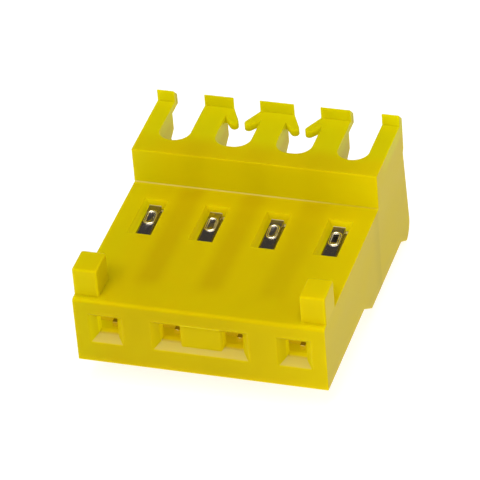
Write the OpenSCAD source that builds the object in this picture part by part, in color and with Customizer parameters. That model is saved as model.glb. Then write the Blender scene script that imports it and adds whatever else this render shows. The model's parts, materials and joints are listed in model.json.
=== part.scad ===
// Four-circuit wire to board receptacle, 3.96 mm pitch: one moulded housing and four
// stamped insulation displacement contacts.
// Millimetres. X runs along the row, Y runs from the mating face to the wire side, Z is up
// towards the contact windows. The origin is on the mating face, at the middle of the pin row.

/* [Row] */
// Distance from one circuit to the next
pitch = 3.96; // [3.8:0.02:4.4]
// Height of the pin row above the underside of the mating end
pin_row_h = 2.5; // [2.4:0.05:2.6]
// Gap left on each side between a contact and its pocket
fit_gap = 0.05; // [0.03:0.01:0.08]

/* [Mating end] */
// Thickness of the mating end, from underside to deck
deck_h = 4.58; // [4.5:0.02:4.8]
// Length of the deck, from mating face to shelf
deck_l = 12.46; // [12.3:0.02:12.8]
// Thickness of the front wall that the pins pass through
front_wall = 1.02; // [0.8:0.02:1.3]
// Side of each square pin hole
pin_hole = 1.26; // [1.2:0.02:1.4]
// Size of the sloping lead-in round each pin hole
lead_in = 0.46; // [0.3:0.02:0.55]
// Depth of the wall between the two middle lead-ins, which share one mouth
shared_mouth_depth = 0.33; // [0.2:0.01:0.4]
// Radius of the softened front edge of the deck
deck_edge_r = 0.25; // [0.1:0.05:0.4]

/* [Polarising tabs] */
// Width of each tab
tab_w = 1.6; // [1.2:0.05:2]
// Length of each tab from front to back
tab_l = 2; // [1.4:0.05:2.6]
// Height of each tab above the deck
tab_h = 1.92; // [1.2:0.02:2.4]
// Distance from the mating face to the front of each tab
tab_setback = 0.45; // [0.2:0.05:0.8]

/* [Contact windows] */
// Distance from the mating face to the front edge of each window
window_start = 7.2; // [6.8:0.05:7.6]
// Distance from the mating face to the back edge of each window
window_end = 10.45; // [10:0.05:10.9]
// Width of each window where it meets the pocket
window_w = 1.02; // [0.96:0.02:1.1]
// Widening of each window at the deck, on each side
window_flare = 0.26; // [0.05:0.01:0.3]
// Thickness of the deck over the pockets
deck_wall = 0.63; // [0.6:0.01:0.7]

/* [Wire end] */
// Height of the shelf above the underside of the mating end
shelf_h = 7.02; // [6.9:0.02:7.4]
// Distance from the mating face to the back of the arms
arm_back = 18.58; // [18.4:0.02:19]
// Bottom of the wire slots, from the mating face
slot_start = 13.93; // [13.7:0.01:14.2]
// Width of a wire slot between two arms
slot_w = 2.3; // [2.24:0.02:2.4]
// Radius of the two corners at the bottom of a wire slot
slot_corner_r = 1; // [0.5:0.05:1.1]
// Width of the arm at each end of the row
end_arm_w = 1.14; // [1:0.02:1.3]
// Thickness of the wall at each end of the row, behind the circuits
end_wall_t = 0.5; // [0.4:0.02:0.7]
// Height of the lip on the arm tips above the shelf
lip_h = 0.83; // [0.7:0.01:1]
// Thickness of that lip from front to back, all of it bevelled towards the wire side
lip_t = 0.62; // [0.5:0.01:0.65]
// Thickness of the arm tips under the shelf plane
arm_tip_t = 0.52; // [0.4:0.02:0.7]
// Distance from the back of the arms forward to the back of their necks
neck_setback = 1.18; // [1:0.02:1.3]
// Height of the back of the arm necks, where their sloping underside starts
neck_base_h = 5.35; // [5.2:0.05:5.5]
// Drop of that sloping underside
neck_slope = 0.4; // [0.2:0.05:0.6]
// Distance from the back of the arms forward to the back of the walls between the circuits
divider_setback = 1.88; // [1.7:0.02:2]

/* [Wire barbs] */
// Reach of a barb from the arm that carries it
barb_reach = 0.95; // [0.8:0.01:1.05]
// Length of a barb's root, from the back of the arms forward
barb_root_l = 1.53; // [1.4:0.01:1.7]
// Radius of the rounded tip of a barb
barb_tip_r = 0.27; // [0.2:0.01:0.3]
// Distance from the back of the arms forward to the front of a barb's tip
barb_l = 2.21; // [2.1:0.01:2.4]

/* [Underside] */
// Start of the locking ramp, from the mating face
ramp_start = 8.19; // [7.9:0.01:8.5]
// Length of the locking ramp
ramp_l = 1.64; // [1.2:0.02:2]
// Depth of the closed end below the underside of the mating end
closed_drop = 1.14; // [1:0.02:1.3]
// Distance from the back of the arms forward to the catch on the closed end
catch_setback = 1.71; // [1.6:0.01:1.9]
// Radius of the heel at the back of the closed end
heel_r = 1.25; // [1.1:0.01:1.35]
// Distance from the back of the arms forward to the centre of the heel
heel_setback = 0.83; // [0.7:0.01:0.95]
// Depth of the centre of the heel below the underside of the mating end
heel_drop = 0.75; // [0.6:0.01:0.9]
// Distance from the back of the arms forward to the back face where the block is slimmest
waist_setback = 0.18; // [0.1:0.02:0.26]
// Height of that slimmest place above the underside of the mating end
waist_h = 4.75; // [4.5:0.05:4.9]
// Floor that the wire ends stop against, above the underside of the mating end
wire_stop_h = 0; // [0:0.02:0.2]

/* [Contact] */
// Width of a contact
contact_w = 2.2; // [2.1:0.02:2.2]
// Thickness of the strip that a contact is stamped from
strip_t = 0.36; // [0.3:0.01:0.4]
// Width of the locking tongue
tongue_w = 0.8; // [0.7:0.01:0.84]
// Thickness of the locking tongue, coined thinner than the strip
tongue_t = 0.3; // [0.25:0.01:0.32]
// Height of the tongue's free end below the deck
tongue_below_deck = 0.27; // [0.2:0.01:0.4]
// Length of the oval bead pressed into the tongue
bead_l = 1.3; // [1:0.02:1.4]
// Width of that bead
bead_w = 0.66; // [0.5:0.02:0.68]
// Radius of that bead's section
bead_r = 0.08; // [0.05:0.01:0.1]
// Distance from the mating face to the middle of that bead
bead_y = 9.55; // [9.4:0.01:9.6]
// Distance from the mating face to the front edge of the contact's floor
contact_front = 2.1; // [1.9:0.05:2.3]
// Distance from the mating face to the tip of the stub where the contact was cut from its strip
stub_front = 1.6; // [1.5:0.05:1.7]
// Width of that stub
stub_w = 0.34; // [0.3:0.01:0.5]
// Distance from the mating face to the front of the contact's box
box_front = 4.2; // [3.8:0.05:4.6]
// Distance from the mating face to the back of the contact's box
box_back = 11.2; // [11:0.05:11.6]
// Distance from the mating face to the contact's upright base
base_front = 12.6; // [12.3:0.05:12.8]
// Distance from the mating face to the tips of the cutting plates
blade_back = 16.3; // [15.8:0.05:16.6]
// Width of the cutting slot in each plate
cut_slot_w = 0.5; // [0.4:0.02:0.7]
// Half width of the mouth that leads into the cutting slot
cut_mouth_half = 0.72; // [0.5:0.02:0.8]
// Length of that mouth
cut_mouth_l = 0.9; // [0.6:0.05:1.2]
// Bottom of the cutting slot, from the mating face
cut_slot_start = 13.9; // [13.7:0.05:14.2]
// Height of the lower cutting plate above the underside of the mating end
low_blade_h = 0.75; // [0.7:0.05:0.9]
// Side of the square header pin that the contact takes
pin_side = 1.14; // [1.1:0.01:1.18]
// Distance from the middle of the pin row down to the bend of the contact's spring
spring_tip_drop = 0.1; // [0:0.02:0.3]
// Distance from the front edge of the contact's floor back to that bend
spring_bend_l = 0.9; // [0.6:0.05:1.1]
// Height of the spring's lifted tip above that bend
spring_lift = 0.7; // [0.5:0.02:0.75]

/* [Hidden] */
// Number of circuits in the row
CIRCUITS = 4;
// Small overlap that keeps joined or cut faces from lying in one plane
EPS = 0.01;
// How far a cutting block runs past the open side that it starts from
OVER = 2;
// Facets of a full circle and of the bead's section, and the steps in degrees of drawn arcs
ROUND_FN = 48;
BEAD_FN = 24;
ARC_STEP = 6;
EDGE_STEP = 15;
row_w = CIRCUITS * pitch;
pocket_w = contact_w + 2 * fit_gap;
mouth = pin_hole + 2 * lead_in;
// Heights above the underside of the mating end
contact_floor_top = pin_row_h - pin_side / 2 - EPS;
contact_floor = contact_floor_top - strip_t;
pocket_floor = contact_floor - fit_gap;
pocket_roof = deck_h - deck_wall;
contact_roof_top = pocket_roof - fit_gap;
contact_roof = contact_roof_top - strip_t;
ledge_h = low_blade_h - fit_gap;
ledge_back = base_front + 2 * strip_t;
// Wire end, from the mating face
neck_back = arm_back - neck_setback;
divider_back = arm_back - divider_setback;
barb_root_front = arm_back - barb_root_l;
barb_tip_front = arm_back - barb_l;
catch_start = arm_back - catch_setback;
heel_y = arm_back - heel_setback;
waist_back = arm_back - waist_setback;
// Heel: where the catch meets it, and where the back face leaves it
heel_catch_angle = -72;
heel_back_angle = 14;
lip_front = arm_back - lip_t;
lip_bevel_h = shelf_h + lip_h - lip_t;
arm_under_h = shelf_h - arm_tip_t;
// Locking tongue: its distance behind the window's front edge, and the slit round it
tongue_setback = 0.2;
slit_w = 0.08;
tongue_front = window_start + tongue_setback;
tongue_back = window_end - fit_gap;
tongue_top = deck_h - tongue_below_deck;
tongue_rise = tongue_top - contact_roof_top;
tongue_angle = atan2(tongue_rise, tongue_back - tongue_front);
// Chamfer at the tips of the cutting plates, and the gap beside the spring
blade_chamfer = 0.25;
spring_side_gap = 0.1;

function circuit_x(i) = (i - (CIRCUITS + 1) / 2) * pitch;
function slot_left(i) = i == 1 ? -row_w / 2 + end_arm_w : circuit_x(i) - slot_w / 2;
function slot_right(i) = i == CIRCUITS ? row_w / 2 - end_arm_w : circuit_x(i) + slot_w / 2;
function arc_between(cy, cz, r, from, to, step) =
    [for (a = [from : step : to]) [cy + r * cos(a), cz + r * sin(a)]];

// Moves heights measured from the underside of the mating end to the frame of the part
module from_underside() { translate([0, 0, -pin_row_h]) children(); }

// Extrudes an outline drawn in Y and Z along the row, from one X to another
module along_row(from, to) {
    translate([from, 0, 0]) rotate([90, 0, 90]) linear_extrude(to - from) children();
}

// A block given by its lowest and highest corners
module block(low, high) { translate(low) cube(high - low); }

// Side view of the whole moulding
module side_outline() {
    polygon(concat(
        [[0, 0], [ramp_start, 0], [ramp_start + ramp_l, -closed_drop], [catch_start, -closed_drop]],
        arc_between(heel_y, -heel_drop, heel_r, heel_catch_angle, heel_back_angle, ARC_STEP),
        [[waist_back, waist_h], [arm_back, waist_h + (arm_back - waist_back)],
         [arm_back, lip_bevel_h], [lip_front, shelf_h + lip_h], [lip_front, shelf_h],
         [deck_l, shelf_h], [deck_l, deck_h], [deck_edge_r, deck_h]],
        arc_between(deck_edge_r, deck_h - deck_edge_r, deck_edge_r, 90, 180, EDGE_STEP)));
}

// Polarising tabs at both front corners of the deck
module tabs() {
    for (side = [0, 1]) mirror([side, 0, 0])
        block([row_w / 2 - tab_w, tab_setback, deck_h - EPS],
              [row_w / 2, tab_setback + tab_l, deck_h + tab_h]);
}

// Square funnel of 45 degree walls, from its mouth on the mating face down to a depth
module mouth_cut(left, right, depth) {
    low = pin_row_h - mouth / 2;
    high = pin_row_h + mouth / 2;
    intersection() {
        along_row(left, right)
            polygon([[-OVER, low], [0, low], [depth, low + depth],
                     [depth, high - depth], [0, high], [-OVER, high]]);
        translate([0, 0, low]) linear_extrude(mouth)
            polygon([[left, -OVER], [left, 0], [left + depth, depth],
                     [right - depth, depth], [right, 0], [right, -OVER]]);
    }
}

// Lead-ins and pin holes in the front wall; the two middle circuits share one mouth
module pin_entries() {
    for (i = [1 : CIRCUITS]) {
        mouth_cut(circuit_x(i) - mouth / 2, circuit_x(i) + mouth / 2, lead_in);
        block([circuit_x(i) - pin_hole / 2, 0, pin_row_h - pin_hole / 2],
              [circuit_x(i) + pin_hole / 2, front_wall + EPS, pin_row_h + pin_hole / 2]);
    }
    mouth_cut(circuit_x(CIRCUITS / 2) - mouth / 2, circuit_x(CIRCUITS / 2 + 1) + mouth / 2,
              shared_mouth_depth);
}

// Pocket of one circuit: the box part, the base, and the open chamber for the wire
module pocket(i) {
    translate([circuit_x(i), 0, 0]) {
        half = pocket_w / 2;
        block([-half, front_wall, pocket_floor], [half, base_front + OVER, pocket_roof]);
        block([-half, base_front - fit_gap, ledge_h], [half, arm_back + OVER, pocket_roof]);
        block([-half, ledge_back, wire_stop_h], [half, arm_back + OVER, pocket_roof]);
        window();
    }
}

// Window over a locking tongue: upright at its front and back, with side walls that lean outwards
module window() {
    low = window_w / 2;
    high = low + window_flare * (1 + OVER / deck_wall);
    translate([0, window_end, 0]) rotate([90, 0, 0]) linear_extrude(window_end - window_start)
        polygon([[-low, pocket_roof - EPS], [low, pocket_roof - EPS], [low, pocket_roof],
                 [high, deck_h + OVER], [-high, deck_h + OVER], [-low, pocket_roof]]);
}

// Slot for one wire: straight up through the shelf, open at the back, round at the bottom
module wire_slot(i) {
    left = slot_left(i);
    right = slot_right(i);
    translate([0, 0, pocket_roof - EPS]) linear_extrude(shelf_h + lip_h - pocket_roof + OVER) {
        for (x = [left + slot_corner_r, right - slot_corner_r])
            translate([x, slot_start + slot_corner_r]) circle(r = slot_corner_r, $fn = ROUND_FN);
        translate([left + slot_corner_r, slot_start])
            square([right - left - 2 * slot_corner_r, slot_corner_r]);
        translate([left, slot_start + slot_corner_r])
            square([right - left, arm_back + OVER - slot_start - slot_corner_r]);
    }
}

// Space behind the walls between circuits and under the arm tips, closed by the two end walls
module divider_relief() {
    along_row(-row_w / 2 + end_wall_t, row_w / 2 - end_wall_t)
        polygon([[divider_back, wire_stop_h], [divider_back, neck_base_h - neck_slope],
                 [neck_back, neck_base_h], [neck_back, arm_under_h],
                 [arm_back + OVER, arm_under_h], [arm_back + OVER, wire_stop_h]]);
}

// Where a line from a point touches a circle, on its left (1) or its right (-1) side
function tangent_point(from, centre, r, side) =
    let (v = from - centre, a = atan2(v.y, v.x) + side * acos(r / norm(v)))
    centre + r * [cos(a), sin(a)];

// One barb, seen from above, reaching towards +X from an arm wall at X = 0
module barb_outline() {
    back = [0, arm_back];
    front = [0, barb_root_front];
    tip = [barb_reach - barb_tip_r, barb_tip_front + barb_tip_r];
    polygon([[-EPS, arm_back], back, tangent_point(back, tip, barb_tip_r, -1), tip,
             tangent_point(front, tip, barb_tip_r, 1), front, [-EPS, barb_root_front]]);
    translate(tip) circle(r = barb_tip_r, $fn = ROUND_FN);
}

// Long section of the arm tips, with their lip
module arm_tip_section() {
    polygon([[barb_tip_front - OVER, arm_under_h], [arm_back, arm_under_h], [arm_back, lip_bevel_h],
             [lip_front, shelf_h + lip_h], [lip_front, shelf_h], [barb_tip_front - OVER, shelf_h]]);
}

// Barbs that hold the wires in the two middle slots; the lip carries on over their roots
module barbs() {
    for (i = [CIRCUITS / 2, CIRCUITS / 2 + 1])
        intersection() {
            along_row(slot_left(i) - EPS, slot_right(i) + EPS) arm_tip_section();
            translate([0, 0, arm_under_h]) linear_extrude(shelf_h + lip_h - arm_under_h) {
                translate([slot_left(i), 0]) barb_outline();
                translate([slot_right(i), 0]) mirror([1, 0]) barb_outline();
            }
        }
}

module housing() {
    color([0.88, 0.76, 0.04]) from_underside() {
        difference() {
            union() {
                along_row(-row_w / 2, row_w / 2) side_outline();
                tabs();
            }
            pin_entries();
            for (i = [1 : CIRCUITS]) {
                pocket(i);
                wire_slot(i);
            }
            divider_relief();
        }
        barbs();
    }
}

// Plate with a cutting slot that is open towards the wire side
module cutting_plate(height) {
    half = contact_w / 2;
    cut = cut_slot_w / 2;
    mouth_start = blade_back - cut_mouth_l;
    translate([0, 0, height]) linear_extrude(strip_t) difference() {
        polygon([[-half, base_front], [half, base_front], [half, blade_back - blade_chamfer],
                 [half - blade_chamfer, blade_back], [-half + blade_chamfer, blade_back],
                 [-half, blade_back - blade_chamfer]]);
        polygon([[-cut, cut_slot_start], [cut, cut_slot_start], [cut, mouth_start],
                 [cut_mouth_half, blade_back + EPS], [-cut_mouth_half, blade_back + EPS],
                 [-cut, mouth_start]]);
        translate([0, cut_slot_start]) circle(r = cut, $fn = ROUND_FN);
    }
}

// Locking tongue that springs up into the window, with its pressed oval bead
module tongue() {
    length = (tongue_back - tongue_front - tongue_t * sin(tongue_angle)) / cos(tongue_angle);
    translate([0, tongue_front, contact_roof_top]) rotate([tongue_angle, 0, 0]) {
        block([-tongue_w / 2, 0, -tongue_t], [tongue_w / 2, length, 0]);
        translate([0, (bead_y - tongue_front) / cos(tongue_angle), 0]) oval_bead();
    }
}

// Round bead that follows an oval with straight sides, long in Y
module oval_bead() {
    path_r = bead_w / 2 - bead_r;
    straight = bead_l - bead_w;
    for (end = [0, 180]) rotate([0, 0, end]) translate([0, straight / 2, 0])
        rotate_extrude(angle = 180, $fn = ROUND_FN)
            translate([path_r, 0]) circle(r = bead_r, $fn = BEAD_FN);
    for (side = [-1, 1]) translate([side * path_r, 0, 0]) rotate([90, 0, 0])
        cylinder(r = bead_r, h = straight, center = true, $fn = BEAD_FN);
}

// Spring that presses on the header pin, bent down from the front of the box
module spring() {
    bend_h = pin_row_h - spring_tip_drop;
    bend_y = contact_front + spring_bend_l;
    half = contact_w / 2 - strip_t - spring_side_gap;
    along_row(-half, half)
        polygon([[box_front + strip_t, contact_roof_top], [box_front, contact_roof_top],
                 [bend_y, bend_h + strip_t], [contact_front, bend_h + spring_lift + strip_t],
                 [contact_front, bend_h + spring_lift], [bend_y, bend_h],
                 [box_front + strip_t, contact_roof]]);
}

module contact(i) {
    half = contact_w / 2;
    color([0.62, 0.60, 0.55]) from_underside() translate([circuit_x(i), 0, 0]) {
        // Floor under the pin with the stub at its front, and the neck that joins it to the base
        block([-half, contact_front, contact_floor], [half, base_front + strip_t, contact_floor_top]);
        block([-stub_w / 2, stub_front, contact_floor],
              [stub_w / 2, contact_front + EPS, contact_floor_top]);
        // Box walls and roof
        for (side = [0, 1]) mirror([side, 0, 0])
            block([half - strip_t, box_front, contact_floor], [half, box_back, contact_roof_top]);
        difference() {
            block([-half, box_front, contact_roof], [half, box_back, contact_roof_top]);
            block([-tongue_w / 2 - slit_w, tongue_front + tongue_t, contact_roof - EPS],
                  [tongue_w / 2 + slit_w, tongue_back + slit_w, contact_roof_top + EPS]);
        }
        tongue();
        spring();
        // Upright base and the two cutting plates
        block([-half, base_front, low_blade_h], [half, base_front + strip_t, contact_roof_top]);
        cutting_plate(low_blade_h);
        cutting_plate(contact_roof);
    }
}

housing();
contact(1);  // contact_1
contact(2);  // contact_2
contact(3);  // contact_3
contact(4);  // contact_4
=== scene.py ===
# %% [markdown]
# # Dressing a wire to board connector in Blender
# The part is a four-circuit receptacle: one yellow nylon moulding that holds four stamped,
# tin-plated contacts. Its solids are finished, so this lesson hardly touches their shapes. It
# works on what a maker would call the finish: softened edges, plastic, metal, light and camera.
# Lengths are metres, and the part is only 16 mm wide, so a millimetre gets a name of its own.

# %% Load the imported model
import json
import math
from types import SimpleNamespace

import bmesh
import bpy
from mathutils import Matrix, Vector


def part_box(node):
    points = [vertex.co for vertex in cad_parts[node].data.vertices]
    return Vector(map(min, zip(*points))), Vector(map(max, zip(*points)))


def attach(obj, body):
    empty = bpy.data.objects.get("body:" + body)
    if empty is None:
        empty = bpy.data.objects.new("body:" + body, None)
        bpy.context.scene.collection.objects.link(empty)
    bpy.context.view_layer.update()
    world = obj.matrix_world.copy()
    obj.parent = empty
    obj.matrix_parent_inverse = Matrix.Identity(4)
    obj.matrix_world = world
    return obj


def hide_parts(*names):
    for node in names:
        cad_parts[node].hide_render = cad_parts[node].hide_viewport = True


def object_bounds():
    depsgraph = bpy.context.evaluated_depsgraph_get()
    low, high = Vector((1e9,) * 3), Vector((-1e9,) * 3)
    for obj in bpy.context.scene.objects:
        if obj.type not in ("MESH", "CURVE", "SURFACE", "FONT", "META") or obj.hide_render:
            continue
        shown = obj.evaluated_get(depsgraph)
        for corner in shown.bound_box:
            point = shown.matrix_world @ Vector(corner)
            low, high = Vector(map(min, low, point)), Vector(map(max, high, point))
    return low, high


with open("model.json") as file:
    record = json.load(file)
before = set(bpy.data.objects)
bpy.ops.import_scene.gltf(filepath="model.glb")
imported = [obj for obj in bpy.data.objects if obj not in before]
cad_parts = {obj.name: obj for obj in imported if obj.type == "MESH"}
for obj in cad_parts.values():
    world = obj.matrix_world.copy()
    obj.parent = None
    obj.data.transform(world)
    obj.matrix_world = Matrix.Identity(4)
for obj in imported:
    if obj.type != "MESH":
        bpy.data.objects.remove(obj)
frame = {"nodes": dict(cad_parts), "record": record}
cad_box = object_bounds()
MM = 0.001
print("nodes:", sorted(frame["nodes"]))

# %% [markdown]
# ## Places on the part
# The masks of the plastic need to know where the circuits, the deck and the pin holes are. The
# housing's box gives the outside. The pin row mount gives the number of circuits and their
# spacing. The other lengths are design values of this part, counted from the mating face in Y
# and from the pin row in Z, which is where the frame has its origin.

# %% Measure the part
low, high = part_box("housing")
pin_row = next(m for m in frame["record"]["mounts"] if m["name"] == "pin_row")
CIRCUITS = pin_row["dims"]["count"]
PITCH = pin_row["dims"]["spacing_x_mm"] * MM
HALF_ROW = high.x
DECK_TOP = 2.08 * MM
DECK_BACK = 12.46 * MM
BODY_UNDERSIDE = -2.5 * MM
ARM_UNDERSIDE = 4.0 * MM
LEAD_IN = 0.46 * MM
HALF_HOLE = 0.63 * MM
TAB_BACK = 2.5 * MM
TAB_INNER = 4.0 * MM
print("circuits:", CIRCUITS, "row width in mm:", round(2 * HALF_ROW / MM, 2))

# %% [markdown]
# ## Short helpers for node trees
# A material built in a script is a list of nodes and of joined sockets. These helpers keep that
# list readable: one adds a node, one gives a socket its value or its join, and one adds a sum.

# %% Node helpers
def add_node(tree, kind, values=None, **settings):
    """Adds a node, sets its own settings, then its inputs by name or number."""
    node = tree.nodes.new(kind)
    for name, value in settings.items():
        setattr(node, name, value)
    for name, value in (values or {}).items():
        node.inputs[name].default_value = value
    return node


def put(tree, value, socket):
    """Gives a socket its value: a join when it comes from another socket, else a number."""
    if isinstance(value, bpy.types.NodeSocket):
        tree.links.new(value, socket)
    else:
        socket.default_value = value


def calc(tree, operation, first, second=0.0, third=0.0, clamp=False):
    """One sum on numbers or sockets."""
    node = add_node(tree, "ShaderNodeMath", operation=operation, use_clamp=clamp)
    for socket, value in zip(node.inputs, (first, second, third)):
        put(tree, value, socket)
    return node.outputs["Value"]


print("node helpers: add_node, put, calc")

# %% [markdown]
# ## Short helpers for masks
# A mask is a number between 0 and 1 that says how much of an effect a point gets. Most masks
# here are soft steps along an axis, or several of them multiplied, so that a region is written
# down as the overlap of its sides.

# %% Mask helpers
def soft_step(tree, value, start, end, low_value=0.0, high_value=1.0):
    """A mask that goes smoothly from one value to another between two places."""
    node = add_node(tree, "ShaderNodeMapRange", interpolation_type="SMOOTHSTEP")
    for name, number in (("Value", value), ("From Min", start), ("From Max", end),
                         ("To Min", low_value), ("To Max", high_value)):
        put(tree, number, node.inputs[name])
    return node.outputs["Result"]


def fade_out(tree, value, start, end):
    """A mask that is 1 up to a place and goes smoothly to 0 behind it."""
    return soft_step(tree, value, start, end, 1.0, 0.0)


def overlap(tree, first, *others):
    """The product of masks, which is 1 only where all of them are."""
    for mask in others:
        first = calc(tree, "MULTIPLY", first, mask)
    return first


def split_vector(tree, vector):
    """The X, Y and Z sockets of a vector."""
    node = add_node(tree, "ShaderNodeSeparateXYZ")
    put(tree, vector, node.inputs[0])
    return node.outputs


def mix_colours(tree, mask, first, second):
    """Goes from one colour to another as the mask goes from 0 to 1."""
    node = add_node(tree, "ShaderNodeMix", data_type="RGBA")
    put(tree, mask, node.inputs["Factor"])
    put(tree, first, node.inputs[6])
    put(tree, second, node.inputs[7])
    return node.outputs[2]


print("mask helpers: soft_step, fade_out, overlap, split_vector, mix_colours")

# %% [markdown]
# ## Short helpers for groups and materials
# An effect with sockets of its own is a group. A material here always starts with two nodes, its
# output and the place of the point on the part, read from Object coordinates.

# %% Group and material helpers
def new_group(name, inputs, outputs):
    """An empty shader node group with named sockets. Returns it and its two end nodes."""
    group = bpy.data.node_groups.new(name, "ShaderNodeTree")
    for direction, sockets in (("INPUT", inputs), ("OUTPUT", outputs)):
        for socket_name, kind, value in sockets:
            socket = group.interface.new_socket(socket_name, in_out=direction,
                                                socket_type="NodeSocket" + kind)
            if value is not None:
                socket.default_value = value
    return group, group.nodes.new("NodeGroupInput"), group.nodes.new("NodeGroupOutput")


def put_out(group, end, results):
    """Joins results to a group's outputs by name."""
    for name, value in results.items():
        put(group, value, end.inputs[name])


def use_group(tree, group, values=None):
    """Adds a group to a material and sets or joins its inputs by name."""
    node = tree.nodes.new("ShaderNodeGroup")
    node.node_tree = group
    for name, value in (values or {}).items():
        put(tree, value, node.inputs[name])
    return node


def new_material(name):
    """An empty node material. Returns it, its tree, its output node and its place on the part."""
    material = bpy.data.materials.new(name)
    material.use_nodes = True
    tree = material.node_tree
    tree.nodes.clear()
    output = add_node(tree, "ShaderNodeOutputMaterial")
    place = add_node(tree, "ShaderNodeTexCoord").outputs["Object"]
    return material, tree, output, place


print("group helpers: new_group, put_out, use_group; material helper: new_material")

# %% [markdown]
# ## Group: the walls that show through the deck
# Nylon this thin lets light in. Over a pocket the light comes back from the bright contact, and
# over a wall between two pockets it goes deep and comes back darker and more orange. On the real
# part that shows as soft stripes along the deck, one over each inner wall. The distance to the
# nearest wall is a triangle wave along the row, which the ping-pong sum makes in one node.
# The ends of the row and the arms behind the step get painted light in yellows of their own, so
# the group also says how near a point is to the left end or the right end, and whether it is
# on an arm.

# %% Build the group for the inner walls
def make_wall_stripes():
    group, start, end = new_group(
        "inner_wall_stripes",
        [("Position", "Vector", None), ("Spacing", "Float", PITCH),
         ("Half Row", "Float", HALF_ROW)],
        [("Stripe", "Float", None), ("Left End", "Float", None), ("Right End", "Float", None),
         ("Arm", "Float", None)])
    x, y, z = split_vector(group, start.outputs["Position"])
    half_spacing = calc(group, "MULTIPLY", start.outputs["Spacing"], 0.5)
    from_wall = calc(group, "PINGPONG", x, half_spacing)
    near_wall = fade_out(group, from_wall, 0.25 * MM, 1.25 * MM)
    off_ends = fade_out(group, calc(group, "ABSOLUTE", x), 5.2 * MM, 6.2 * MM)
    behind_front = soft_step(group, y, 1.6 * MM, 3.2 * MM)
    weak_behind_step = soft_step(group, y, DECK_BACK - 0.2 * MM, DECK_BACK, 1.0, 0.35)
    to_left = calc(group, "ADD", start.outputs["Half Row"], x)
    to_right = calc(group, "SUBTRACT", start.outputs["Half Row"], x)
    behind_step = soft_step(group, y, DECK_BACK + 1.0 * MM, DECK_BACK + 2.6 * MM)
    arm_height = soft_step(group, z, ARM_UNDERSIDE - 0.6 * MM, ARM_UNDERSIDE)
    put_out(group, end, {
        "Stripe": overlap(group, near_wall, off_ends, behind_front, weak_behind_step),
        "Left End": fade_out(group, to_left, 0.2 * MM, 2.6 * MM),
        "Right End": fade_out(group, to_right, 0.1 * MM, 3.6 * MM),
        "Arm": overlap(group, behind_step, arm_height),
    })
    return group


wall_stripes = make_wall_stripes()
print("group:", wall_stripes.name)

# %% [markdown]
# ## Group: light that arrives through the walls
# Look into a pin hole of a yellow housing and it isn't black: many walls are little more than
# half a millimetre thick, and they glow like a lampshade. A render would need very many light
# bounces for that.
# This group stands in for them. It only looks at where a point lies, and gives four masks:
# Inside for the pockets, Funnel for the lead-ins at the mating face, Window for the walls round
# a locking tongue, and Wire End for the thin walls round the wires. The material turns each
# into its own weak glow.

# %% Build the group for the glow
def make_wall_glow():
    group, start, end = new_group(
        "light_through_walls",
        [("Position", "Vector", None), ("Half Row", "Float", HALF_ROW)],
        [("Inside", "Float", None), ("Funnel", "Float", None), ("Window", "Float", None),
         ("Wire End", "Float", None)])
    x, y, z = split_vector(group, start.outputs["Position"])
    to_end = calc(group, "SUBTRACT", start.outputs["Half Row"], calc(group, "ABSOLUTE", x))
    off_end_face = soft_step(group, to_end, 0.2 * MM, 0.6 * MM)
    under_deck = fade_out(group, z, DECK_TOP - 0.66 * MM, DECK_TOP - 0.30 * MM)
    above_floor = soft_step(group, z, BODY_UNDERSIDE + 0.2 * MM, BODY_UNDERSIDE + 0.6 * MM)
    enclosed = overlap(group, under_deck, above_floor, off_end_face)

    behind_lead_in = soft_step(group, y, LEAD_IN - 0.04 * MM, LEAD_IN + 0.06 * MM)
    weak_far_in = soft_step(group, y, 6.2 * MM, 7.6 * MM, 1.0, 0.5)
    before_wire_end = fade_out(group, y, DECK_BACK, DECK_BACK + 1.5 * MM)
    behind_face = soft_step(group, y, 0.01 * MM, 0.1 * MM)
    in_lead_in = fade_out(group, y, LEAD_IN, LEAD_IN + 0.3 * MM)

    below_top = fade_out(group, z, DECK_TOP - 0.10 * MM, DECK_TOP - 0.02 * MM)
    above_pocket = soft_step(group, z, DECK_TOP - 0.9 * MM, DECK_TOP - 0.6 * MM)
    behind_tabs = soft_step(group, y, 3.0 * MM, 4.0 * MM)
    before_step = fade_out(group, y, DECK_BACK - 0.9 * MM, DECK_BACK - 0.6 * MM)

    from_step = soft_step(group, y, DECK_BACK - 0.06 * MM, DECK_BACK - 0.01 * MM)
    before_tips = fade_out(group, y, 18.1 * MM, 18.3 * MM)
    wall_height = soft_step(group, z, 0.4 * MM, 1.4 * MM)
    off_outer_skin = soft_step(group, to_end, 0.02 * MM, 0.08 * MM)
    put_out(group, end, {
        "Inside": overlap(group, enclosed, behind_lead_in, weak_far_in, before_wire_end),
        "Funnel": overlap(group, enclosed, behind_face, in_lead_in),
        "Window": overlap(group, below_top, above_pocket, off_end_face, behind_tabs, before_step),
        "Wire End": overlap(group, from_step, before_tips, wall_height, off_outer_skin),
    })
    return group


wall_glow = make_wall_glow()
print("group:", wall_glow.name)

# %% [markdown]
# ## A helper for noise
# A noise node has a scale, while a maker thinks in sizes. This helper divides the place by a
# size, and can squeeze the place along an axis first, which draws the pattern out along it.

# %% Noise helper
def noise(tree, place, size, settings, stretch=None):
    """Noise with features of about the given size, drawn out along an axis if asked."""
    if stretch:
        drawn = add_node(tree, "ShaderNodeVectorMath", {1: stretch}, operation="MULTIPLY")
        put(tree, place, drawn.inputs[0])
        place = drawn.outputs[0]
    scaled = add_node(tree, "ShaderNodeVectorMath", operation="SCALE")
    put(tree, place, scaled.inputs[0])
    put(tree, calc(tree, "DIVIDE", 1.0, size), scaled.inputs["Scale"])
    pattern = add_node(tree, "ShaderNodeTexNoise", {"Scale": 1.0, **settings})
    put(tree, scaled.outputs[0], pattern.inputs["Vector"])
    return pattern.outputs["Fac"]


print("noise helper: noise")

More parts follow.
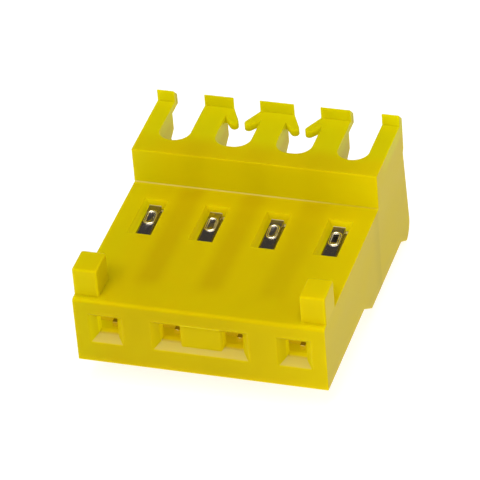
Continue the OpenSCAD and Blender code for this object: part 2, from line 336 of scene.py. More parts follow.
# %% [markdown]
# ## Group: the skin that the mould leaves
# A mould cavity is spark eroded and then blasted, so the plastic comes out satin with a very
# fine grain. Flow of the hot nylon leaves long, weak waves on top of that. Both are noise at
# their own scale. The group gives a height for the bump and a roughness that wanders a little.

# %% Build the group for the moulded skin
def make_moulded_skin():
    group, start, end = new_group(
        "moulded_skin",
        [("Position", "Vector", None), ("Grain Size", "Float", 0.09 * MM),
         ("Flow Length", "Float", 3.0 * MM), ("Base Roughness", "Float", 0.42)],
        [("Height", "Float", None), ("Roughness", "Float", None), ("Flow", "Float", None)])
    place = start.outputs["Position"]
    grain = noise(group, place, start.outputs["Grain Size"], {"Detail": 2.0, "Roughness": 0.6})
    flow = noise(group, place, start.outputs["Flow Length"], {"Detail": 3.0, "Distortion": 0.6},
                 stretch=(1.0, 0.45, 1.0))
    height = calc(group, "MULTIPLY_ADD", flow, 6.0, grain)
    rough = calc(group, "MULTIPLY_ADD", calc(group, "SUBTRACT", flow, 0.5), 0.16,
                 start.outputs["Base Roughness"])
    rough = calc(group, "MULTIPLY_ADD", calc(group, "SUBTRACT", grain, 0.5), 0.10, rough)
    put_out(group, end, {"Height": height, "Roughness": rough, "Flow": flow})
    return group


moulded_skin = make_moulded_skin()
print("group:", moulded_skin.name)

# %% [markdown]
# ## The yellows
# One plastic is painted in several yellows, which stand for light that comes through it: amber
# is painted shade over thick places and the stripes, golden yellow goes to the pockets, and the
# lemon tone at the thin ends of the row and the palest one on the arms are painted light. The
# lower slopes of the lead-ins round the pin holes get a painted sheen, a milky beige where they
# catch the light. The glows are darker, because they add to what the lamps do.

# %% Name the yellows
AMBER = (0.500, 0.356, 0.0006, 1)
GOLDEN = (0.562, 0.425, 0.0006, 1)
LEMON_LEFT = (0.560, 0.455, 0.0008, 1)
LEMON_RIGHT = (0.620, 0.480, 0.0008, 1)
ARM_YELLOW = (0.575, 0.500, 0.0010, 1)
# painted sheen: a milky beige for the light that the lower slopes of the lead-ins catch
MILKY_SHEEN = (0.590, 0.465, 0.085, 1)
# painted shade on the roofs of the lead-ins, which face down
ROOF_SHADE_AMBER = (0.40, 0.265, 0.0004, 1)
GLOW = (0.240, 0.205, 0.0003, 1)
GLOW_END = (0.350, 0.370, 0.0003, 1)
THIN_GLOW = (0.115, 0.116, 0.0, 1)
# painted highlight along the inner corner of the deck and the step, as an emission
CORNER_HIGHLIGHT = (0.15, 0.13, 0.03, 1)
DARK = (0.0, 0.0, 0.0, 1)
print("green rises from amber to golden to the arms:", AMBER[1], GOLDEN[1], ARM_YELLOW[1])

# %% [markdown]
# ## The nylon asks about a point
# The material grows over the next cells. It starts with questions about one point of the
# surface: how far back is it, how high, which way does its face look, and what do the groups
# say? The answers come from Object coordinates and from the normal, so they stay with the part
# from every side. They are gathered once, and every mask below uses them.

# %% Start the nylon
def read_point(tree, place):
    """Where a point lies, which way its face looks, and what the groups say about it."""
    x, y, z = split_vector(tree, place)
    normal = add_node(tree, "ShaderNodeNewGeometry").outputs["Normal"]
    normal_x, normal_y, normal_z = split_vector(tree, normal)
    return SimpleNamespace(
        x=x, y=y, z=z, sideways=calc(tree, "ABSOLUTE", normal_x), backwards=normal_y,
        upwards=normal_z, looks_up=soft_step(tree, normal_z, 0.5, 0.68),
        walls=use_group(tree, wall_stripes, {"Position": place}).outputs,
        glow=use_group(tree, wall_glow, {"Position": place}).outputs,
        skin=use_group(tree, moulded_skin, {"Position": place}).outputs)


nylon, nylon_tree, nylon_output, nylon_place = new_material("yellow_nylon")
point = read_point(nylon_tree, nylon_place)
print("known about a point:", sorted(vars(point)))

# %% [markdown]
# ## Yellow by place
# The colour starts golden and takes the other yellows, which are painted light and shade, where
# their masks say so. On the real part the stripes are fainter on the right, and the right end's
# lemon tone stays off the end face itself, so two more masks hold them back there.

# %% Mix the yellows
def mix_yellows(tree, point):
    """Painted light and shade: golden pockets, amber over the walls, lemon ends and pale arms."""
    fainter_right = soft_step(tree, point.x, 1.5 * MM, 4.5 * MM, 1.0, 0.55)
    off_end_face = soft_step(tree, point.sideways, 0.6, 0.9, 1.0, 0.1)
    stripe = overlap(tree, point.walls["Stripe"], fainter_right)
    right_end = overlap(tree, point.walls["Right End"], off_end_face)
    colour = mix_colours(tree, stripe, GOLDEN, AMBER)
    colour = mix_colours(tree, point.walls["Left End"], colour, LEMON_LEFT)
    colour = mix_colours(tree, right_end, colour, LEMON_RIGHT)
    return mix_colours(tree, point.walls["Arm"], colour, ARM_YELLOW)


yellow = mix_yellows(nylon_tree, point)
print("nylon so far:", len(nylon_tree.nodes), "nodes")

# %% [markdown]
# ## Painted light and shade by place
# A few places get painted light and shade on top of what the lamps do. The tabs stand free and
# are painted brighter. The mating face left of the middle, the deck before the step, the low part
# of the end faces and the side walls of the lead-ins get painted shade. The flow waves of the skin
# add a little of both as the skin's own tone. Each place is a mask with its change beside it.

# %% Paint light and shade
def paint_light_shade_and_flow(tree, point):
    """1 on most of the part, with painted light and shade and a little flow tone where a mask says
    so.
    """
    flow = soft_step(tree, point.skin["Flow"], 0.35, 0.65, -0.5, 0.5)
    tabs = overlap(tree, soft_step(tree, point.z, DECK_TOP, DECK_TOP + 0.1 * MM),
                   fade_out(tree, point.y, TAB_BACK, TAB_BACK + 0.5 * MM))
    looks_ahead = fade_out(tree, point.backwards, -0.95, -0.8)
    left_half = fade_out(tree, point.x, 0.5 * MM, 5.0 * MM)
    mating_face = overlap(tree, looks_ahead, left_half, calc(tree, "SUBTRACT", 1.0, tabs))
    back_of_deck = soft_step(tree, point.y, 10.6 * MM, 12.0 * MM)
    off_step_wall = fade_out(tree, point.y, DECK_BACK - 0.35 * MM, DECK_BACK - 0.1 * MM)
    end_face = soft_step(tree, point.sideways, 0.7, 0.95)
    low_part = soft_step(tree, point.z, -0.5 * MM, 2.0 * MM, 1.0, 0.4)
    side_wall = soft_step(tree, point.sideways, 0.3, 0.5)
    light_shade_and_flow = 1.0
    # painted light on the tabs and painted shade on the other places; only the flow is the skin's
    # own tone
    for mask, change in ((flow, 0.03), (tabs, 0.07), (mating_face, -0.08),
                         (overlap(tree, back_of_deck, off_step_wall), -0.08),
                         (overlap(tree, end_face, low_part), -0.07),
                         (overlap(tree, side_wall, point.glow["Funnel"]), -0.08)):
        light_shade_and_flow = calc(tree, "MULTIPLY_ADD", mask, change, light_shade_and_flow)
    return light_shade_and_flow


light_shade_and_flow = paint_light_shade_and_flow(nylon_tree, point)
print("nylon so far:", len(nylon_tree.nodes), "nodes")

# %% [markdown]
# ## Small places with painted light and shade
# Three places want more than a yellow: a painted sheen on the lower slope of each lead-in,
# painted shade on the roof of each lead-in, and a painted highlight on the inner corner where
# the deck meets the step, a thin pale line that fades to the right. The key block between the
# middle pin holes reaches up to the roof of its lead-in, and the roof there gets painted light
# instead of the shade, so it has a mask of its own.

# %% Find the small places
def find_lead_ins(tree, point):
    """The lower slopes that get the painted sheen, the roofs of the lead-ins, and the roof over the
    key block alone.
    """
    funnel = point.glow["Funnel"]
    below_hole = fade_out(tree, point.z, -HALF_HOLE, -HALF_HOLE + 0.1 * MM)
    looks_down = fade_out(tree, point.upwards, -0.68, -0.5)
    over_key = fade_out(tree, calc(tree, "ABSOLUTE", point.x), 1.2 * MM, 1.3 * MM)
    roof = overlap(tree, looks_down, funnel)
    return overlap(tree, point.looks_up, below_hole, funnel), roof, overlap(tree, roof, over_key)


def find_step_highlight(tree, point):
    """The painted highlight line where the deck meets the step, fainter to the right."""
    from_deck = soft_step(tree, point.y, DECK_BACK - 0.09 * MM, DECK_BACK - 0.05 * MM)
    to_wall = fade_out(tree, point.y, DECK_BACK + 0.02 * MM, DECK_BACK + 0.04 * MM)
    low_on_wall = fade_out(tree, point.z, DECK_TOP + 0.05 * MM, DECK_TOP + 0.09 * MM)
    above_windows = soft_step(tree, point.z, DECK_TOP - 0.03 * MM, DECK_TOP - 0.01 * MM)
    fainter_right = soft_step(tree, point.x, 2.0 * MM, 6.0 * MM, 0.8, 0.15)
    return overlap(tree, from_deck, to_wall, low_on_wall, above_windows, fainter_right)


slope, roof, lit_key_roof = find_lead_ins(nylon_tree, point)
corner = find_step_highlight(nylon_tree, point)
print("nylon so far:", len(nylon_tree.nodes), "nodes")

# %% [markdown]
# ## The glow
# Light that came through the walls leaves the surface as a weak emission. It is amber in the
# middle of the row and yellower at its ends, where less plastic is in the way. The lower slopes
# of the lead-ins get none, because the lamps reach them, and the floors of the pin holes get
# less. Emission by place moves with the part and survives an export, which a trick with the
# light paths wouldn't.

# %% Mix the glow
RIGHT_END_SHARE = 0.9
LEAD_IN_SHARE = 0.3
WINDOW_SHARE = 0.5
KEY_ROOF_LIGHT = 0.4
HOLE_FLOOR_LOSS = 0.32


def mix_glow(tree, point, slope, lit_key_roof, corner):
    """The emission colour: black outside, glows where light comes through, painted light on the key
    roof and the step corner.
    """
    near_right = calc(tree, "MULTIPLY", point.walls["Right End"], RIGHT_END_SHARE)
    lit = mix_colours(tree, point.walls["Left End"], GLOW, GLOW_END)
    lit = mix_colours(tree, near_right, lit, GLOW_END)
    inside, lead_in, window = (point.glow[name] for name in ("Inside", "Funnel", "Window"))
    strength = calc(tree, "MULTIPLY_ADD", lead_in, LEAD_IN_SHARE, inside)
    strength = calc(tree, "MULTIPLY_ADD", window, WINDOW_SHARE, strength)
    strength = calc(tree, "MULTIPLY", strength, calc(tree, "SUBTRACT", 1.0, slope), clamp=True)
    hole_floor = overlap(tree, point.looks_up, inside)
    kept = calc(tree, "MULTIPLY_ADD", hole_floor, -HOLE_FLOOR_LOSS, 1.0)
    strength = overlap(tree, strength, kept)
    upright = fade_out(tree, calc(tree, "ABSOLUTE", point.upwards), 0.30, 0.55)
    thin_walls = overlap(tree, point.glow["Wire End"], upright)
    emission = mix_colours(tree, strength, DARK, lit)
    emission = mix_colours(tree, thin_walls, emission, THIN_GLOW)
    # painted light on the roof over the key block, as an emission
    over_key = calc(tree, "MULTIPLY", lit_key_roof, KEY_ROOF_LIGHT)
    emission = mix_colours(tree, over_key, emission, GLOW_END)
    # painted highlight along the step corner
    return mix_colours(tree, corner, emission, CORNER_HIGHLIGHT)


glow = mix_glow(nylon_tree, point, slope, lit_key_roof, corner)
print("nylon so far:", len(nylon_tree.nodes), "nodes")

# %% [markdown]
# ## The yellow nylon
# The shader takes what the cells above made. Subsurface scattering softens the shading as
# translucent plastic does, and a tinted, weak reflection keeps the yellow saturated where one
# looks straight at it. The bump is far below a tenth of a millimetre: a grain that is only felt
# in the gloss.

# %% Join the nylon
def join_nylon(tree, colour, glow, skin, output):
    bump = add_node(tree, "ShaderNodeBump", {"Strength": 0.25, "Distance": 0.004 * MM})
    put(tree, skin["Height"], bump.inputs["Height"])
    shader = add_node(tree, "ShaderNodeBsdfPrincipled", {
        "IOR": 1.36,
        "Specular IOR Level": 0.14,
        "Specular Tint": (1.0, 0.85, 0.03, 1),
        "Subsurface Weight": 0.6,
        "Subsurface Radius": (1.0, 0.75, 0.2),
        "Subsurface Scale": 0.8 * MM,
        "Emission Strength": 1.0,
    })
    put(tree, colour, shader.inputs["Base Color"])
    put(tree, skin["Roughness"], shader.inputs["Roughness"])
    put(tree, glow, shader.inputs["Emission Color"])
    put(tree, bump.outputs["Normal"], shader.inputs["Normal"])
    put(tree, shader.outputs["BSDF"], output.inputs["Surface"])


toned = add_node(nylon_tree, "ShaderNodeHueSaturation", {"Saturation": 1.0, "Hue": 0.5})
put(nylon_tree, yellow, toned.inputs["Color"])
put(nylon_tree, light_shade_and_flow, toned.inputs["Value"])
# painted sheen on the lead-in slopes and a painted highlight along the step corner, both milky
# beige
pale = calc(nylon_tree, "MAXIMUM", slope, corner)
shaded_roof = calc(nylon_tree, "SUBTRACT", roof, lit_key_roof)
nylon_colour = mix_colours(nylon_tree, pale, toned.outputs["Color"], MILKY_SHEEN)
# painted shade on the lead-in roofs, except over the key block
nylon_colour = mix_colours(nylon_tree, shaded_roof, nylon_colour, ROOF_SHADE_AMBER)
join_nylon(nylon_tree, nylon_colour, glow, point.skin, nylon_output)
print("material:", nylon.name, len(nylon_tree.nodes), "nodes")

# %% [markdown]
# ## Group: stamped and plated strip
# Contacts are punched from a rolled strip that was tinned first. Rolling leaves fine lines along
# the strip, and tin dulls in soft clouds as it ages. The lines are noise pulled long in Y, the
# clouds are noise at the size of a millimetre.

# %% Build the group for the strip
def make_rolled_strip():
    group, start, end = new_group(
        "rolled_strip",
        [("Position", "Vector", None), ("Line Spacing", "Float", 0.03 * MM),
         ("Cloud Size", "Float", 0.9 * MM)],
        [("Lines", "Float", None), ("Clouds", "Float", None)])
    place = start.outputs["Position"]
    lines = noise(group, place, start.outputs["Line Spacing"], {"Detail": 2.0},
                  stretch=(1.0, 0.03, 1.0))
    clouds = noise(group, place, start.outputs["Cloud Size"], {"Detail": 3.0})
    put_out(group, end, {"Lines": lines, "Clouds": clouds})
    return group


rolled_strip = make_rolled_strip()
print("group:", rolled_strip.name)

# %% [markdown]
# ## Metals of the contact
# Tin is a pale grey metal. In its deep window it mirrors the dark side of the room, so it looks
# like gunmetal with a few bright spots. The bead of the locking tongue, which rubs along the
# plastic when a contact is pushed home, is painted bright and golden: a painted highlight and a
# painted reflection of the yellow walls. The tongue's end is a cut edge, rough, and painted bright
# as a glint. Down in the pocket the metal mirrors the yellow walls round it, which a weak glow
# stands in for. The lengths below say where these places are on the contact.

# %% Name the metals and the places on the contact
BRIGHT_TIN = (0.42, 0.37, 0.32, 1)
DULL_TIN = (0.27, 0.235, 0.21, 1)
# painted highlight and painted golden reflection of the yellow walls, on the bead
BEAD_HIGHLIGHT = (0.92, 0.84, 0.58, 1)
# the cut end of the tongue: rough, with a painted glint
SHEARED_GLINT = (0.80, 0.74, 0.52, 1)
FRONT_REFLECTION = (0.32, 0.20, 0.002, 1)
BACK_REFLECTION = (0.12, 0.09, 0.006, 1)
TONGUE_RISE = 0.1367
TONGUE_ROOT_Y = 7.4 * MM
TONGUE_ROOT_Z = 1.4 * MM
TONGUE_END = 10.46 * MM
TONGUE_LOW = 1.3 * MM
BEAD_FRONT = 8.6 * MM
BEHIND_TONGUE = 10.7 * MM
POCKET_TOP = 1.28 * MM
STUB_TIP = 1.61 * MM
STUB_ROOT = 2.06 * MM
STUB_TOP = -0.62 * MM
print("the tongue rises by degrees:", round(math.degrees(math.atan(TONGUE_RISE)), 1))

# %% [markdown]
# ## Where the contact looks different
# Three functions find those places on the contact. The tongue's upper face slopes, so the bead
# is what lies above a sloping line. The top of the stub in front mirrors nothing: it is the
# small dark spot that one sees through a pin hole.

# %% Find the places on the contact
def find_tongue_end(tree, y, z):
    """The cut end of the locking tongue."""
    past_end = soft_step(tree, y, TONGUE_END, TONGUE_END + 0.05 * MM)
    on_tongue = soft_step(tree, z, TONGUE_LOW, TONGUE_LOW + 0.1 * MM)
    before_base = fade_out(tree, y, BEHIND_TONGUE, BEHIND_TONGUE + 0.1 * MM)
    return overlap(tree, past_end, on_tongue, before_base)


def find_bead(tree, y, z):
    """What stands above the tongue's upper face."""
    along = calc(tree, "SUBTRACT", y, TONGUE_ROOT_Y)
    tongue_top = calc(tree, "MULTIPLY_ADD", along, TONGUE_RISE, TONGUE_ROOT_Z)
    raised = soft_step(tree, calc(tree, "SUBTRACT", z, tongue_top), 0.010 * MM, 0.030 * MM)
    return overlap(tree, raised, soft_step(tree, y, BEAD_FRONT, BEAD_FRONT + 0.1 * MM))


def mirror_pocket(tree, y, z):
    """The yellow that the metal mirrors down in the pocket, as a colour to emit."""
    in_pocket = fade_out(tree, z, POCKET_TOP, POCKET_TOP + 0.08 * MM)
    behind_tip = soft_step(tree, y, STUB_TIP, STUB_TIP + 0.05 * MM)
    before_root = fade_out(tree, y, STUB_ROOT, STUB_ROOT + 0.06 * MM)
    up_to_top = soft_step(tree, z, STUB_TOP, STUB_TOP + 0.03 * MM)
    stub_top = overlap(tree, before_root, behind_tip, up_to_top)
    lit = calc(tree, "SUBTRACT", in_pocket, stub_top, clamp=True)
    far_in = soft_step(tree, y, 3.0 * MM, 6.0 * MM)
    return mix_colours(tree, lit, DARK,
                       mix_colours(tree, far_in, FRONT_REFLECTION, BACK_REFLECTION))


print("the bead starts at mm:", round(BEAD_FRONT / MM, 2))

# %% [markdown]
# ## The tin plate
# The cloud mask mixes bright and dull tin and makes the dull places rougher. The rolled lines go
# into the bump. The cut end is rougher and gets a painted glint, and the bead a painted highlight.

# %% Make the tin plate
def make_tin():
    material, tree, output, place = new_material("tin_plate")
    _, y, z = split_vector(tree, place)
    strip = use_group(tree, rolled_strip, {"Position": place}).outputs
    dull = soft_step(tree, strip["Clouds"], 0.42, 0.62)
    tongue_end = find_tongue_end(tree, y, z)
    colour = mix_colours(tree, dull, BRIGHT_TIN, DULL_TIN)
    colour = mix_colours(tree, tongue_end, colour, SHEARED_GLINT)
    colour = mix_colours(tree, find_bead(tree, y, z), colour, BEAD_HIGHLIGHT)
    rough = 0.17
    for mask, change in ((dull, 0.10), (strip["Lines"], 0.05), (tongue_end, 0.35)):
        rough = calc(tree, "MULTIPLY_ADD", mask, change, rough)
    bump = add_node(tree, "ShaderNodeBump", {"Strength": 0.2, "Distance": 0.002 * MM})
    put(tree, strip["Lines"], bump.inputs["Height"])
    shader = add_node(tree, "ShaderNodeBsdfPrincipled", {"Metallic": 1.0, "Emission Strength": 1.0})
    put(tree, colour, shader.inputs["Base Color"])
    put(tree, rough, shader.inputs["Roughness"])
    put(tree, mirror_pocket(tree, y, z), shader.inputs["Emission Color"])
    put(tree, bump.outputs["Normal"], shader.inputs["Normal"])
    put(tree, shader.outputs["BSDF"], output.inputs["Surface"])
    return material


tin = make_tin()
print("material:", tin.name, len(tin.node_tree.nodes), "nodes")

# %% [markdown]
# ## Corners that move first
# Two small things are shaped in the copies of the solids, by moving corners. Each window's back
# wall leans away from the mating face, because a mould couldn't let go of an upright one. The
# locking tongue reaches a little further, with a rounder bead. The corners are found by where
# they lie, and the solids themselves keep their plain forms.

# %% Functions that move corners
WINDOW_BACK = 10.45 * MM
WINDOW_LEAN = 0.45 * MM
WINDOW_FOOT = 0.22 * MM
WINDOW_LOWEST = 1.0 * MM
TONGUE_GROWTH = 0.20 * MM
TONGUE_TIP_FROM, TONGUE_TIP_TO = 10.2 * MM, 10.45 * MM
TONGUE_DEPTH = 0.36 * MM
BEAD_MIDDLE = 9.55 * MM
BEAD_HALF_LENGTH = 0.7 * MM
BEAD_HALF_WIDTH = 0.36 * MM
BEAD_SHIFT = -0.10 * MM
BEAD_WIDER, BEAD_SHORTER = 1.09, 0.95
SAME_PLACE = 0.001 * MM


def lean_window_backs(shape):
    """Moves each window's back wall away from the mating face, its top more than its foot."""
    back = [v for v in shape.verts if abs(v.co.y - WINDOW_BACK) < SAME_PLACE]
    tops = [v for v in back if abs(v.co.z - DECK_TOP) < SAME_PLACE]
    feet = [v for v in back if WINDOW_LOWEST < v.co.z < DECK_TOP - 0.1 * MM]
    for corners, distance in ((tops, WINDOW_LEAN), (feet, WINDOW_FOOT)):
        for vertex in corners:
            vertex.co.y += distance
    print("window corners moved:", len(tops), "tops and", len(feet), "feet")


def trim_tongue(shape):
    """Lengthens the locking tongue a little, and rounds and widens its bead."""
    middle = sum(v.co.x for v in shape.verts) / len(shape.verts)
    end, bead = [], []
    for vertex in shape.verts:
        x, y, z = vertex.co
        over = z - (TONGUE_ROOT_Z + TONGUE_RISE * (y - TONGUE_ROOT_Y))
        if TONGUE_TIP_FROM < y < TONGUE_TIP_TO and -TONGUE_DEPTH < over < 0.02 * MM:
            end.append(vertex)
        elif (abs(y - BEAD_MIDDLE) < BEAD_HALF_LENGTH and over > -0.01 * MM
                and abs(x - middle) < BEAD_HALF_WIDTH):
            bead.append(vertex)
    for vertex in end:
        vertex.co.y += TONGUE_GROWTH
        vertex.co.z += TONGUE_GROWTH * TONGUE_RISE
    for vertex in bead:
        old_y = vertex.co.y
        vertex.co.x = middle + (vertex.co.x - middle) * BEAD_WIDER
        vertex.co.y = BEAD_MIDDLE + (old_y - BEAD_MIDDLE) * BEAD_SHORTER + BEAD_SHIFT
        vertex.co.z += (vertex.co.y - old_y) * TONGUE_RISE
    print("tongue corners moved:", len(end), "and bead corners:", len(bead))


print("window backs move by mm:", [round(d / MM, 2) for d in (WINDOW_FOOT, WINDOW_LEAN)])

# %% [markdown]
# ## Softened edges
# No moulded or stamped edge is razor sharp, and the thin bright line along an edge is what
# tells the eye how big a thing is. The solid's mesh stays as it is. A copy is merged, its flat
# faces are joined, and every edge that turns by more than 20 degrees gets a bevel weight, which
# the bevel modifier turns into a radius. The tabs, which slide over a header, are rounder.
# Weighted normals then keep the large faces flat and let only the rounding curve.
# The modifiers run on a worker object, and only the plain mesh that they make is kept.

# %% Functions that soften edges
MOULDED_RADIUS = 0.05 * MM
STAMPED_RADIUS = 0.03 * MM
TAB_RADIUS = 0.15 * MM
MERGE_DISTANCE = 0.002 * MM
FLAT_ANGLE = math.radians(1)
SHARP_ANGLE = math.radians(20)


def new_object(name, data):
    """An object in the scene, at the origin and unturned."""
    made = bpy.data.objects.new(name, data)
    bpy.context.scene.collection.objects.link(made)
    return made


def is_tab_edge(edge):
    """True for the convex edges of the two polarising tabs above the deck."""
    middle = (edge.verts[0].co + edge.verts[1].co) / 2
    return (middle.z > DECK_TOP + 0.05 * MM and middle.y < TAB_BACK
            and abs(middle.x) > TAB_INNER and edge.is_convex)


def weigh_edges(shape, edge_radius, has_tabs):
    """Gives each sharp edge its share of the largest radius, which the tabs have."""
    shape.normal_update()
    weights = shape.edges.layers.float.new("bevel_weight_edge")
    for edge in shape.edges:
        if len(edge.link_faces) == 2 and edge.calc_face_angle() > SHARP_ANGLE:
            on_tab = has_tabs and is_tab_edge(edge)
            edge[weights] = 1.0 if on_tab else edge_radius / TAB_RADIUS


def soften(piece_name, sharp_mesh):
    """The mesh with its weighted edges rounded, as a plain mesh of its own."""
    worker = new_object(piece_name + "_worker", sharp_mesh)
    bevel = worker.modifiers.new("edges", "BEVEL")
    bevel.width = TAB_RADIUS
    bevel.segments = 2
    bevel.limit_method = "WEIGHT"
    bevel.use_clamp_overlap = False
    worker.modifiers.new("normals", "WEIGHTED_NORMAL").weight = 80
    graph = bpy.context.evaluated_depsgraph_get()
    mesh = bpy.data.meshes.new_from_object(worker.evaluated_get(graph))
    mesh.name = piece_name
    bpy.data.objects.remove(worker)
    return mesh


def softened_copy(node_name, piece_name, edge_radius, material, reshape):
    """A copy of a CAD node with rounded edges, which stands for that node."""
    shape = bmesh.new()
    shape.from_mesh(frame["nodes"][node_name].data)
    bmesh.ops.remove_doubles(shape, verts=shape.verts, dist=MERGE_DISTANCE)
    bmesh.ops.dissolve_limit(shape, angle_limit=FLAT_ANGLE, verts=shape.verts,
                             edges=shape.edges, delimit=set())
    reshape(shape)
    weigh_edges(shape, edge_radius, has_tabs=node_name == "housing")
    sharp_mesh = bpy.data.meshes.new(piece_name + "_sharp")
    shape.to_mesh(sharp_mesh)
    shape.free()
    for polygon in sharp_mesh.polygons:
        polygon.use_smooth = True
    mesh = soften(piece_name, sharp_mesh)
    bpy.data.meshes.remove(sharp_mesh)
    mesh.materials.clear()
    mesh.materials.append(material)
    return new_object(piece_name, mesh)


print("radii in mm:", [round(r / MM, 3) for r in (MOULDED_RADIUS, STAMPED_RADIUS, TAB_RADIUS)])

# %% [markdown]
# ## The softened pieces
# Each copy rides with the part's one body and replaces the node that it stands for in the
# picture, where that node is hidden.

# %% Make the softened pieces
moulding = softened_copy("housing", "housing_moulding", MOULDED_RADIUS, nylon,
                         lean_window_backs)
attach(moulding, "root")
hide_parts("housing")
print("moulding faces:", len(moulding.data.polygons))
for number in range(1, CIRCUITS + 1):
    strip_piece = softened_copy("contact_%d" % number, "contact_strip_%d" % number,
                                STAMPED_RADIUS, tin, trim_tongue)
    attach(strip_piece, "root")
    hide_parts("contact_%d" % number)
    print(strip_piece.name, "faces:", len(strip_piece.data.polygons))

# %% [markdown]
# ## Ejector marks
# Steel pins push a moulding out of its mould, and each leaves a fine raised ring where plastic
# crept round the pin. They sit on the plain underside, two under each circuit. That is a rule,
# so Geometry Nodes lays them: a grid of points, one ring on each, made real and given the
# nylon. The inputs are named, so the marks could be moved or resized without new code.

# %% Build the tree for the ejector marks
ROW_DISTANCE = 3.6 * MM
RING_RADIUS = 0.62 * MM
RIM_RADIUS = 0.025 * MM
MARKS_MIDDLE = (0.0, 4.5 * MM, BODY_UNDERSIDE)


def new_marks_tree():
    """An empty tree with the named inputs of the marks. Returns it and its two end nodes."""
    tree = bpy.data.node_groups.new("ejector_marks", "GeometryNodeTree")
    for name, kind, value in (("Geometry", "Geometry", None), ("Circuits", "Int", CIRCUITS),
                              ("Spacing", "Float", PITCH), ("Row Distance", "Float", ROW_DISTANCE),
                              ("Ring Radius", "Float", RING_RADIUS),
                              ("Rim Radius", "Float", RIM_RADIUS),
                              ("Middle", "Vector", MARKS_MIDDLE)):
        socket = tree.interface.new_socket(name, in_out="INPUT", socket_type="NodeSocket" + kind)
        if value is not None:
            socket.default_value = value
    tree.interface.new_socket("Geometry", in_out="OUTPUT", socket_type="NodeSocketGeometry")
    return tree, tree.nodes.new("NodeGroupInput"), tree.nodes.new("NodeGroupOutput")


def add_points(tree, sizes):
    """Two points under each circuit, as a grid on the underside."""
    gaps = calc(tree, "SUBTRACT", sizes["Circuits"], 1.0)
    grid = add_node(tree, "GeometryNodeMeshGrid", {"Vertices Y": 2})
    put(tree, calc(tree, "MULTIPLY", gaps, sizes["Spacing"]), grid.inputs["Size X"])
    put(tree, sizes["Row Distance"], grid.inputs["Size Y"])
    put(tree, sizes["Circuits"], grid.inputs["Vertices X"])
    move = add_node(tree, "GeometryNodeTransform")
    put(tree, grid.outputs["Mesh"], move.inputs["Geometry"])
    put(tree, sizes["Middle"], move.inputs["Translation"])
    return move.outputs["Geometry"]


def add_ring(tree, sizes):
    """One raised ring, which is a small circle swept along a larger one."""
    ring = add_node(tree, "GeometryNodeCurvePrimitiveCircle", {"Resolution": 40})
    rim = add_node(tree, "GeometryNodeCurvePrimitiveCircle", {"Resolution": 10})
    put(tree, sizes["Ring Radius"], ring.inputs["Radius"])
    put(tree, sizes["Rim Radius"], rim.inputs["Radius"])
    sweep = add_node(tree, "GeometryNodeCurveToMesh")
    put(tree, ring.outputs["Curve"], sweep.inputs["Curve"])
    put(tree, rim.outputs["Curve"], sweep.inputs["Profile Curve"])
    return sweep.outputs["Mesh"]


def build_mark_nodes():
    """A ring on each point, made real and given the nylon."""
    tree, start, end = new_marks_tree()
    place = add_node(tree, "GeometryNodeInstanceOnPoints")
    put(tree, add_points(tree, start.outputs), place.inputs["Points"])
    put(tree, add_ring(tree, start.outputs), place.inputs["Instance"])
    real = add_node(tree, "GeometryNodeRealizeInstances")
    put(tree, place.outputs["Instances"], real.inputs["Geometry"])
    paint = add_node(tree, "GeometryNodeSetMaterial")
    paint.inputs["Material"].default_value = nylon
    put(tree, real.outputs["Geometry"], paint.inputs["Geometry"])
    put(tree, paint.outputs["Geometry"], end.inputs["Geometry"])
    return tree


mark_nodes = build_mark_nodes()
print("tree:", mark_nodes.name, len(mark_nodes.nodes), "nodes")

# %% [markdown]
# A modifier runs the tree. Its inputs are set by each socket's identifier, because two sockets
# may share a name. The result is made a plain mesh, and the object that carried the modifier
# goes, so that what is left is an ordinary piece. The new mesh lists an empty material before
# the nylon, so its list is cleared and filled again, and every face is set to the first entry.

# %% Lay the ejector marks
def lay_marks():
    worker = new_object("marks_worker", bpy.data.meshes.new("marks_start"))
    modifier = worker.modifiers.new("marks", "NODES")
    modifier.node_group = mark_nodes
    identifiers = {item.name: item.identifier for item in mark_nodes.interface.items_tree
                   if item.in_out == "INPUT"}
    modifier[identifiers["Circuits"]] = CIRCUITS
    modifier[identifiers["Spacing"]] = PITCH
    graph = bpy.context.evaluated_depsgraph_get()
    mesh = bpy.data.meshes.new_from_object(worker.evaluated_get(graph))
    mesh.name = "ejector_marks"
    bpy.data.objects.remove(worker)
    mesh.materials.clear()
    mesh.materials.append(nylon)
    for polygon in mesh.polygons:
        polygon.use_smooth = True
        polygon.material_index = 0
    return new_object("ejector_marks", mesh)


marks = lay_marks()
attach(marks, "root")
print("ejector marks:", len(marks.data.polygons), "faces")

# %% [markdown] ## The floor A plain white sheet, wide enough to fill the view. A faint noise
# keeps it from looking like an empty background, and a glow of its own keeps it white where
# the part shades it.

# %% Lay the floor
FLOOR_HALF = 0.6
PAPER_DARK = (0.38, 0.38, 0.38, 1)
PAPER_LIGHT = (0.41, 0.41, 0.41, 1)


def make_floor():
    mesh = bpy.data.meshes.new("floor")
    corners = [(x * FLOOR_HALF, y * FLOOR_HALF, low.z)
               for x, y in ((-1, -1), (1, -1), (1, 1), (-1, 1))]
    mesh.from_pydata(corners, [], [(0, 1, 2, 3)])
    floor = new_object("floor", mesh)
    material, tree, output, place = new_material("white_floor")
    paper = add_node(tree, "ShaderNodeTexNoise", {"Scale": 900.0, "Detail": 2.0})
    put(tree, place, paper.inputs["Vector"])
    tone = mix_colours(tree, paper.outputs["Fac"], PAPER_DARK, PAPER_LIGHT)
    shader = add_node(tree, "ShaderNodeBsdfPrincipled", {
        "Roughness": 0.9, "Specular IOR Level": 0.1,
        "Emission Color": (1, 1, 1, 1), "Emission Strength": 0.78})
    put(tree, tone, shader.inputs["Base Color"])
    put(tree, shader.outputs["BSDF"], output.inputs["Surface"])
    mesh.materials.append(material)
    return floor


print("stage:", make_floor().name)

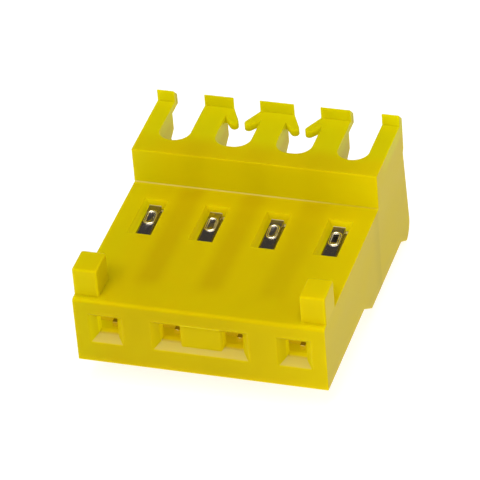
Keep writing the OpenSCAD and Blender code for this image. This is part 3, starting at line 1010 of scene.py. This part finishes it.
# %% [markdown]
# ## Lamps
# A product table is lit with soft lamps. The key comes from the front left, and the slopes of
# the lead-ins catch it. One overhead lights the deck, and a low, weak one the right-hand side.

# %% Place the lamps
middle = (cad_box[0] + cad_box[1]) / 2


def soft_lamp(name, direction, distance, size, power):
    """A round area lamp that shines on the part's middle from a direction."""
    data = bpy.data.lights.new(name, "AREA")
    data.shape = "DISK"
    data.size = size
    data.energy = power
    lamp = new_object(name, data)
    to_lamp = Vector(direction).normalized()
    lamp.location = middle + to_lamp * distance
    lamp.rotation_euler = (-to_lamp).to_track_quat("-Z", "Y").to_euler()
    return lamp


lamps = [soft_lamp("key_lamp", (-0.27, -0.59, 0.76), distance=0.30, size=0.13, power=0.24),
         soft_lamp("top_lamp", (0.05, -0.10, 1.0), distance=0.45, size=0.25, power=0.85),
         soft_lamp("side_lamp", (1.0, 0.05, 0.35), distance=0.40, size=0.25, power=0.03)]
print("lamps:", [lamp.name for lamp in lamps])

# %% [markdown]
# ## The world
# White cloth all round the table fills the shadows. The world stands for that cloth, with one
# dark stretch behind the part: it is what the deck and the metal mirror, and it keeps them from
# washing out. The cloth in front is a little dimmer, so that the mating face stays darker than
# the deck. Both stretches are soft steps on the angle to a direction.

# %% Make the world
TO_DARK_STRETCH = (-0.25, 0.70, 0.67)
TO_FRONT_CLOTH = (0.15, -1.0, 0.0)


def toward(tree, where, direction):
    """How much a place on the world lies toward a direction, from -1 to 1."""
    node = add_node(tree, "ShaderNodeVectorMath", {1: direction}, operation="DOT_PRODUCT")
    put(tree, where, node.inputs[0])
    return node.outputs["Value"]


def make_world():
    world = bpy.data.worlds.new("studio")
    bpy.context.scene.world = world
    world.use_nodes = True
    tree = world.node_tree
    tree.nodes.clear()
    output = add_node(tree, "ShaderNodeOutputWorld")
    where = add_node(tree, "ShaderNodeTexCoord").outputs["Generated"]
    cloth = soft_step(tree, toward(tree, where, TO_DARK_STRETCH), 0.30, 0.80, 0.92, 0.08)
    dimmer = soft_step(tree, toward(tree, where, TO_FRONT_CLOTH), 0.1, 0.9, 1.0, 0.72)
    strength = overlap(tree, cloth, dimmer)
    light = add_node(tree, "ShaderNodeBackground", {"Color": (1, 1, 1, 1)})
    put(tree, strength, light.inputs["Strength"])
    put(tree, light.outputs["Background"], output.inputs["Surface"])
    return world


print("world:", make_world().name)

# %% [markdown]
# ## Camera
# A long lens from far away keeps the edges of so small a thing nearly parallel, as in catalogue
# pictures. The camera stands in front of the mating end, a little to its right, looks down
# by 36 degrees, and is rolled slightly.

# %% Place the camera
CAMERA_PLACE = Vector((67.152, -180.271, 147.137)) * MM
CAMERA_AZIMUTH = 19.548
CAMERA_ELEVATION = 36.022
CAMERA_ROLL = -5.039
CAMERA_LENS = 302.56


def make_camera():
    azimuth = math.radians(CAMERA_AZIMUTH)
    elevation = math.radians(CAMERA_ELEVATION)
    roll = math.radians(CAMERA_ROLL)
    back = Vector((math.sin(azimuth) * math.cos(elevation),
                   -math.cos(azimuth) * math.cos(elevation), math.sin(elevation)))
    side = Vector((0, 0, 1)).cross(back).normalized()
    up = back.cross(side)
    right = side * math.cos(roll) + up * math.sin(roll)
    top = up * math.cos(roll) - side * math.sin(roll)
    data = bpy.data.cameras.new("camera")
    data.lens = CAMERA_LENS
    data.sensor_width = 36
    data.clip_start = 0.01
    camera = new_object("camera", data)
    turned = Matrix((right, top, back)).transposed().to_4x4()
    camera.matrix_world = Matrix.Translation(CAMERA_PLACE) @ turned
    bpy.context.scene.camera = camera
    return camera


camera = make_camera()
bpy.context.scene.view_settings.view_transform = "Standard"
print("camera lens:", camera.data.lens)

# %% [markdown]
# ## Finish
# Rounding edges must not make the part grow.
